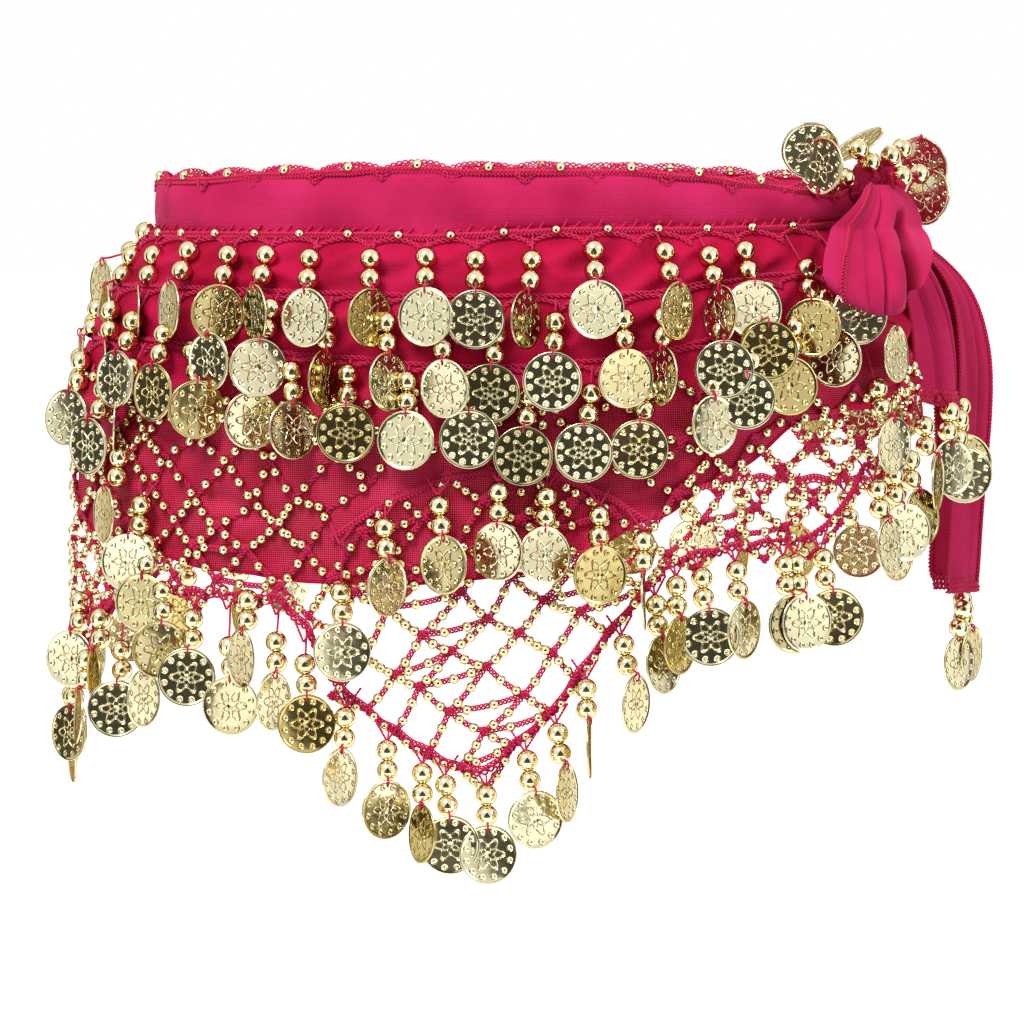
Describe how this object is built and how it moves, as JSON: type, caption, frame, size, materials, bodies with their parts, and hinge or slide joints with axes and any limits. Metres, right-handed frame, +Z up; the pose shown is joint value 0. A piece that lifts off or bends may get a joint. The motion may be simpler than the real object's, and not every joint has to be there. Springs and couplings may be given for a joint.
{
  "type": "belly dance hip scarf",
  "caption": "Sheer chiffon hip scarf tied at the side, hung with rows of beads and coins over a crochet net, for belly dance costume.",
  "frame": {"origin": "centre of the waist opening at the middle height of the band, where the wearer's hips hold it", "axes": "+Z up the body, +Y from the front to the back, +X towards the knot"},
  "size_m": [0.3999, 0.2947, 0.3056],
  "materials": {
    "chiffon": "sheer fuchsia chiffon with a soft sheen",
    "thread": "fuchsia crochet thread, matt",
    "gilt": "bright pale gold plating"
  },
  "bodies": {
    "root": {"waistband": "chiffon", "panel": "chiffon", "knot": "chiffon", "bow_loop": "chiffon", "tail_short": "chiffon", "tail_long": "chiffon", "top_edging": "thread", "net_front": "thread", "net_back": "thread", "coin_row_1": "gilt", "coin_row_2": "gilt", "coin_row_3": "gilt", "arch_row": "gilt", "fringe_front": "gilt", "fringe_back": "gilt", "tail_short_fringe": "gilt", "tail_long_fringe": "gilt", "knot_coin_1": "gilt", "knot_coin_2": "gilt", "knot_coin_3": "gilt", "knot_coin_4": "gilt"}
  },
  "joints": []
}
